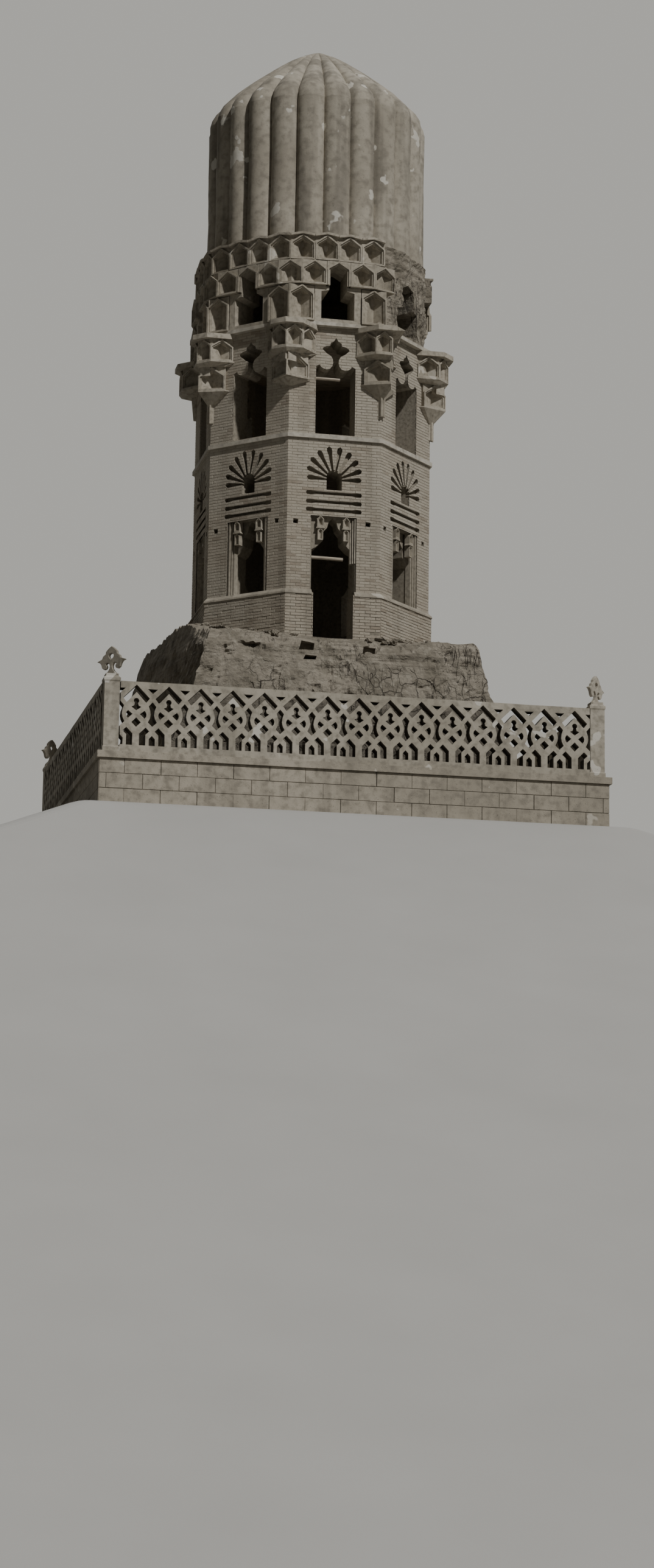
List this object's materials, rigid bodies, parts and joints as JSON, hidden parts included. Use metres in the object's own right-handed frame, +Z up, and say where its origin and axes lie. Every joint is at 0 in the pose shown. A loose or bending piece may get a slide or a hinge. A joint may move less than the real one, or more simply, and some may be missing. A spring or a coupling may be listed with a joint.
{
  "type": "minaret",
  "caption": "Octagonal brick minaret with a ribbed helmet on corbelled niches, standing on a battered rubble socle inside a square terrace with a pierced parapet.",
  "frame": {"origin": "on the ground at the middle of the terrace block's underside, on the tower's axis", "axes": "+Z up the tower's axis, -Y out of the side with the door, +X to the right of someone facing the door"},
  "size_m": [10.74, 10.74, 18.8],
  "materials": {
    "brick_wall": "weathered sun-dried and fired brick in thin courses, rough and matt",
    "plaster_carved": "carved plaster over brick, worn and chipped, matt",
    "plaster_dome": "smooth lime plaster, stained and patched, matt",
    "cut_stone": "soft limestone and moulded plaster, dusty, matt",
    "rubble_masonry": "rubble masonry with cracked render, matt",
    "old_timber": "grey old timber, dry and split"
  },
  "bodies": {
    "root": {"bracket_1": "plaster_carved", "bracket_2": "plaster_carved", "bracket_3": "plaster_carved", "bracket_4": "plaster_carved", "bracket_5": "plaster_carved", "bracket_6": "plaster_carved", "bracket_7": "plaster_carved", "bracket_8": "plaster_carved", "door_beam": "old_timber", "floor_top": "old_timber", "floor_upper": "old_timber", "foot_stage": "brick_wall", "helmet": "plaster_dome", "helmet_cap": "plaster_dome", "kerb_course": "cut_stone", "ledge": "cut_stone", "lower_wall_back": "brick_wall", "lower_wall_back_left": "brick_wall", "lower_wall_back_right": "brick_wall", "lower_wall_front": "brick_wall", "lower_wall_front_left": "brick_wall", "lower_wall_front_right": "brick_wall", "lower_wall_left": "brick_wall", "lower_wall_right": "brick_wall", "muqarnas_lower": "plaster_carved", "muqarnas_middle": "plaster_carved", "muqarnas_upper": "plaster_carved", "parapet_back": "cut_stone", "parapet_front": "cut_stone", "parapet_left": "cut_stone", "parapet_right": "cut_stone", "post_back_left": "cut_stone", "post_back_right": "cut_stone", "post_front_left": "cut_stone", "post_front_right": "cut_stone", "socle": "rubble_masonry", "string_course": "cut_stone", "terrace_block": "cut_stone", "top_drum": "brick_wall", "upper_wall_back": "brick_wall", "upper_wall_back_left": "brick_wall", "upper_wall_back_right": "brick_wall", "upper_wall_front": "brick_wall", "upper_wall_front_left": "brick_wall", "upper_wall_front_right": "brick_wall", "upper_wall_left": "brick_wall", "upper_wall_right": "brick_wall", "window_beam": "old_timber"}
  },
  "joints": []
}
